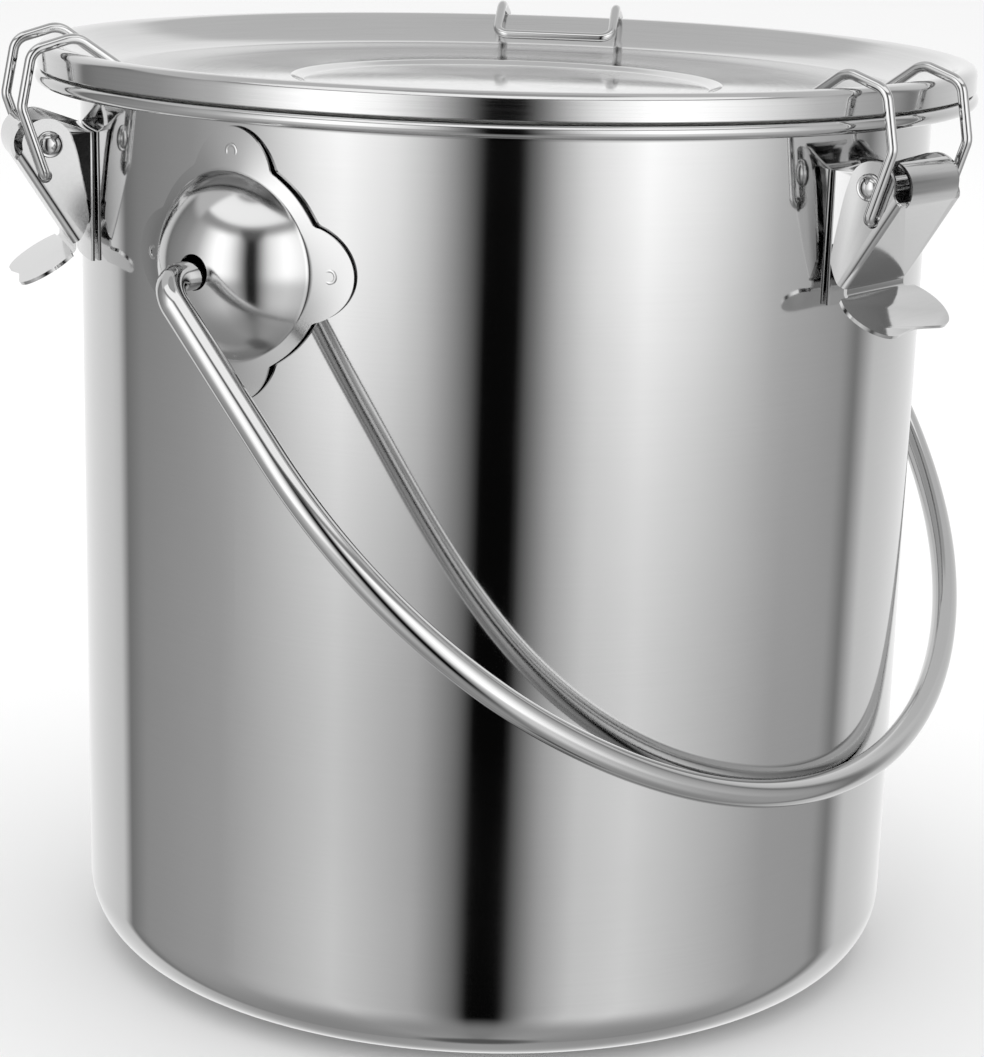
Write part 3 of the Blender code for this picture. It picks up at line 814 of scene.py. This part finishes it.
def face_frame():
    """The direction up the lever's face, and the way the face looks, as out-and-up pairs."""
    run = (Vector(FACE_TOP) - Vector(FACE_FOOT)).normalized()
    return run, Vector((run.y, -run.x))


def channel_outline():
    """The lever's cross-section: the face between two cheeks, bent with round corners."""
    outer = arc((CHEEK_SIDE - LEVER_BEND, -LEVER_BEND), LEVER_BEND, 0, 90, 10)
    inner = arc((CHEEK_SIDE - LEVER_BEND, -LEVER_BEND), LEVER_BEND - LATCH_SHEET, 90, 0, 10)
    half = [(CHEEK_SIDE, -CHEEK_DEPTH)] + outer
    back = inner + [(CHEEK_SIDE - LATCH_SHEET, -CHEEK_DEPTH)]
    mirrored = [(-x, y) for x, y in reversed(half)]
    return half + mirrored + [(-x, y) for x, y in reversed(back)] + back


def cheek_outline():
    """The lever seen from the side, reaching a little past the face."""
    run, out = face_frame()
    top, foot = Vector(FACE_TOP), Vector(FACE_FOOT)
    round_top = arc((0.6, 0), CHEEK_ROUND, -12, 165, 30)
    back = smooth_through([round_top[-1], (-8.0, -4.5), (-10.7, -19.0), (-10.4, -22.5), (-8.6, -26.5),
                           tuple(foot)], 8)
    return round_top + back[1:] + [tuple(foot + out), tuple(top + out), tuple(top)]


def tongue_outline():
    """The tongue that carries the face on round the pin, seen from the side."""
    run, out = face_frame()
    start = degrees(atan2(out.y, out.x))
    root = Vector(FACE_TOP) - run * TONGUE_LAP
    outer = arc(TONGUE_CENTRE, TONGUE_RADIUS, start, TONGUE_TOP_ANGLE, 30)
    inner = arc(TONGUE_CENTRE, TONGUE_RADIUS - LATCH_SHEET, TONGUE_TOP_ANGLE, start, 30)
    return [tuple(root)] + outer + inner + [tuple(root - out * LATCH_SHEET)]


def tab_ribbon():
    """The face's foot, the neck and the tab seen from the side, bent from one strip."""
    run, out = face_frame()
    foot = Vector(FACE_FOOT)
    bend = foot + Vector((0.0, -NECK))
    slope = Vector((cos(radians(TAB_DROP)), -sin(radians(TAB_DROP))))
    path = [foot + run * 1.2, foot, bend, bend + slope * (TAB_LENGTH + 2)]
    path = [point.xy for point in rounded_path([(*p, 0) for p in path], (1.0, 1.0), 6)]
    back = []
    for index, point in enumerate(path):
        before = path[max(index - 1, 0)]
        after = path[min(index + 1, len(path) - 1)]
        way = (after - before).normalized()
        back.append(point + Vector((way.y, -way.x)) * LATCH_SHEET)
    return [tuple(p) for p in path] + [tuple(p) for p in reversed(back)]


def tab_outline():
    """The thumb tab in its own plane: narrow at the bend, then two round lobes."""
    centre = (TAB_LENGTH - TAB_LOBE, TAB_SIDE - TAB_LOBE)
    half = [(-6.0, TAB_ROOT_SIDE), (0.6, TAB_ROOT_SIDE)]
    half += smooth_through([(1.0, TAB_ROOT_SIDE + 0.6)] + arc(centre, TAB_LOBE, 138, -8, 22)
                           + [(TAB_LENGTH - 1.1, 4.0), (TAB_LENGTH - 1.5, 0.0)], 2)
    return half + [(x, -y) for x, y in reversed(half[:-1])]


def lever_mesh():
    """The lever: a bent channel with a curled tongue above and a two-lobed thumb tab below."""
    run, out = face_frame()
    pin = Vector(PIVOT)
    foot = pin + Vector(FACE_FOOT)
    along = Matrix(((0, out.x, -run.x, foot.x), (1, 0, 0, 0), (0, out.y, -run.y, foot.y), (0, 0, 0, 1)))
    channel = plate("channel", channel_outline(), -45.0, 3.0, along)
    cheeks = plate("cheeks", cheek_outline(), -CHEEK_SIDE - 1, CHEEK_SIDE + 1, side_place())
    ribbon = plate("ribbon", tab_ribbon(), -TAB_SIDE - 1, TAB_SIDE + 1, side_place())
    tilt = Matrix.Rotation(radians(TAB_DROP), 4, "Y")
    cut = plate("tab_cut", tab_outline(), -12.0, 12.0,
                Matrix.Translation((foot.x, 0, foot.y - NECK)) @ tilt)
    tab = combined("tab", ribbon, [("INTERSECT", cut)])
    steps = [("INTERSECT", cheeks),
             ("UNION", plate("tongue", tongue_outline(), -TONGUE_SIDE, TONGUE_SIDE, side_place())),
             ("UNION", tab)]
    fold = pin + Vector(FACE_TOP) - run * 0.2
    for side in (1, -1):
        slot = Matrix(((run.x, 0, out.x, fold.x), (0, 1, 0, side * SLOT_SIDE),
                       (run.y, 0, out.y, fold.y), (0, 0, 0, 1)))
        steps.append(("DIFFERENCE", rod("slot", SLOT_RADIUS, 3.0, slot)))
    steps.append(("DIFFERENCE", rod("bore", PIN_RADIUS + HOLE_EXTRA, BORE_REACH, cross_place((0, 0)))))
    steps.append(("DIFFERENCE", rod("bail_bore", BAIL_WIRE + BAIL_HOLE_EXTRA, BORE_REACH,
                                    cross_place(BAIL_HOLE))))
    return softened("lever", combined("lever", channel, steps), EDGE_ROUND)


def pin_mesh(name):
    """A rivet with a domed head outside each cheek."""
    foot = CHEEK_SIDE + 0.3
    collar = 0.55
    dome = [(2.75 * sin(a), foot + collar + (PIN_HEAD[1] - collar) * cos(a))
            for a in (pi / 2 * k / 8 for k in range(9))]
    half = dome + [(2.95, foot + collar - 0.1), (3.4, foot + collar), (3.62, foot + collar - 0.12),
                   (PIN_HEAD[0], foot + 0.3), (PIN_HEAD[0], foot), (PIN_RADIUS, foot)]
    profile = half + [(r, -h) for r, h in reversed(half)]
    mesh = turned(name, profile, 48)
    mesh.transform(Matrix.Rotation(pi / 2, 4, "X"))
    mesh.transform(Matrix.Translation((PIVOT[0] * MM, 0, PIVOT[1] * MM)))
    return mesh


def make_latch(side, finish, wire_finish, brackets, levers):
    place = joint_place(side + "_lever_open")
    turn = Matrix.Rotation(atan2(place.y, place.x), 4, "Z")
    label = side + "_latch_"
    bail = wire(label + "bail_wire", bail_route(), BAIL_WIRE)
    bail.transform(turn)
    show(label + "bail_wire", bail, wire_finish, side + "_bail", [label + "bail"], 50)
    pin = pin_mesh(label + "rivet")
    pin.transform(turn)
    show(label + "rivet", pin, finish, "pail", [label + "pin"])
    for part, source, body in (("bracket", brackets, "pail"), ("lever", levers, side + "_lever")):
        mesh = source.copy()
        mesh.transform(turn)
        show(label + part + "_sheet", mesh, finish, body, [label + part])


# ---------------------------------------------------------------- the scene
make_camera()
make_world()
make_floor()
bpy.context.scene.view_settings.view_transform = "Standard"

SHEET_STEEL = steel("polished_sheet", 0.66, 0.07, 0.10, 0.25, ringed=True)
LID_STEEL = steel("spun_sheet", 0.66, 0.09, 0.20, 0.8, ringed=True)
EAR_STEEL = steel("polished_pressing", 0.64, 0.15, 0.08, 0.1)
WIRE_STEEL = steel("bright_wire", 0.64, 0.07, 0.10, 0.2)
LATCH_STEEL = steel("bright_strip", 0.62, 0.12, 0.15, 0.4)
make_vessel(SHEET_STEEL, LID_STEEL, silicone())
make_ears(EAR_STEEL)
make_handle(WIRE_STEEL)
BRACKET = bracket_mesh()
LEVER = lever_mesh()
for latch_side in SIDES:
    make_latch(latch_side, LATCH_STEEL, WIRE_STEEL, BRACKET, LEVER)
